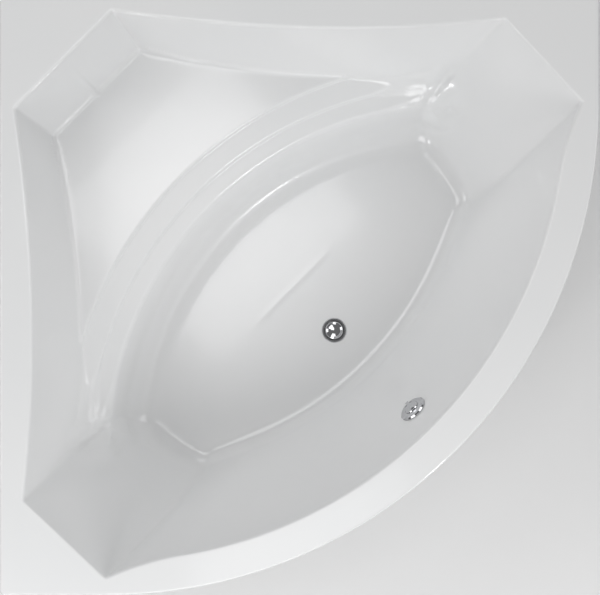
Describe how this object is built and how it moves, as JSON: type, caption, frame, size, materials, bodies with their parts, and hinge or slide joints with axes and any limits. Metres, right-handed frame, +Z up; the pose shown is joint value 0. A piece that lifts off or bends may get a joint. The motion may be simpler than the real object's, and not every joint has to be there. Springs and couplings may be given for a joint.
{
  "type": "corner bathtub",
  "caption": "Built-in corner bathtub: curved-front acrylic shell with corner seat, steel under-frame, levelling feet, front panel, and waste and overflow set with a turning knob.",
  "frame": {"origin": "on the floor, under the middle of the square plan", "axes": "+Z up; +Y and -X are the straight sides that stand against walls; the curved front faces +X and -Y"},
  "size_m": [1.5, 1.5, 0.6],
  "materials": {
    "acrylic": "glossy white sanitary acrylic",
    "panel_acrylic": "glossy white acrylic sheet",
    "chrome": "polished chrome",
    "chipboard": "raw chipboard",
    "timber": "sawn softwood",
    "zinc_steel": "zinc-coated steel",
    "stud_steel": "zinc-plated threaded steel",
    "foot_plastic": "black moulded plastic",
    "fitting_plastic": "white moulded plastic",
    "hose_plastic": "grey corrugated plastic",
    "cable_sleeve": "black plastic sleeve",
    "gasket_rubber": "black rubber"
  },
  "bodies": {
    "bath": {"base_board": "chipboard", "bowden_cable": "cable_sleeve", "cross_bar_left": "zinc_steel", "cross_bar_right": "zinc_steel", "foot_nuts": "stud_steel", "front_panel": "panel_acrylic", "front_rail": "zinc_steel", "outlet_pipe": "fitting_plastic", "overflow_body": "fitting_plastic", "overflow_gasket": "gasket_rubber", "overflow_hose": "hose_plastic", "overflow_rosette": "chrome", "panel_clips": "zinc_steel", "panel_screws": "chrome", "panel_stay_left_inner": "zinc_steel", "panel_stay_left_outer": "zinc_steel", "panel_stay_right_inner": "zinc_steel", "panel_stay_right_outer": "zinc_steel", "rear_rail": "zinc_steel", "rim_batten_back": "timber", "rim_batten_side": "timber", "seat_beam": "zinc_steel", "seat_board": "chipboard", "seat_post": "zinc_steel", "trap_body": "fitting_plastic", "trap_nut": "fitting_plastic", "tub_shell": "acrylic", "wall_bracket_back_left": "zinc_steel", "wall_bracket_back_right": "zinc_steel", "wall_bracket_side_front": "zinc_steel", "wall_bracket_side_rear": "zinc_steel", "waste_body": "fitting_plastic", "waste_flange": "chrome", "waste_gasket": "gasket_rubber"},
    "knob": {"overflow_knob": "chrome"},
    "plug": {"waste_plug": "chrome", "plug_stem": "stud_steel"},
    "foot_front_left": {"foot_stud_front_left": "stud_steel", "foot_pad_front_left": "foot_plastic"},
    "foot_front_right": {"foot_stud_front_right": "stud_steel", "foot_pad_front_right": "foot_plastic"},
    "foot_rear_left": {"foot_stud_rear_left": "stud_steel", "foot_pad_rear_left": "foot_plastic"},
    "foot_rear_right": {"foot_stud_rear_right": "stud_steel", "foot_pad_rear_right": "foot_plastic"},
    "foot_seat": {"foot_stud_seat": "stud_steel", "foot_pad_seat": "foot_plastic"}
  },
  "joints": [
    {"name": "knob_turn", "type": "hinge", "parent": "bath", "child": "knob", "pos_m": [0.29398, -0.29398, 0.483], "axis": [-0.6533, 0.6533, 0.3825], "range_deg": [0, 90]},
    {"name": "plug_lift", "type": "slide", "parent": "bath", "child": "plug", "axis": [0, 0, 1], "range_m": [0, 0.01]},
    {"name": "foot_front_left_screw", "type": "slide", "parent": "bath", "child": "foot_front_left", "axis": [0, 0, -1], "range_m": [0, 0.025]},
    {"name": "foot_front_right_screw", "type": "slide", "parent": "bath", "child": "foot_front_right", "axis": [0, 0, -1], "range_m": [0, 0.025]},
    {"name": "foot_rear_left_screw", "type": "slide", "parent": "bath", "child": "foot_rear_left", "axis": [0, 0, -1], "range_m": [0, 0.025]},
    {"name": "foot_rear_right_screw", "type": "slide", "parent": "bath", "child": "foot_rear_right", "axis": [0, 0, -1], "range_m": [0, 0.025]},
    {"name": "foot_seat_screw", "type": "slide", "parent": "bath", "child": "foot_seat", "axis": [0, 0, -1], "range_m": [0, 0.025]}
  ],
  "couplings": [
    {"joint": "knob_turn", "follows": "plug_lift", "rad_per_m": 157}
  ]
}
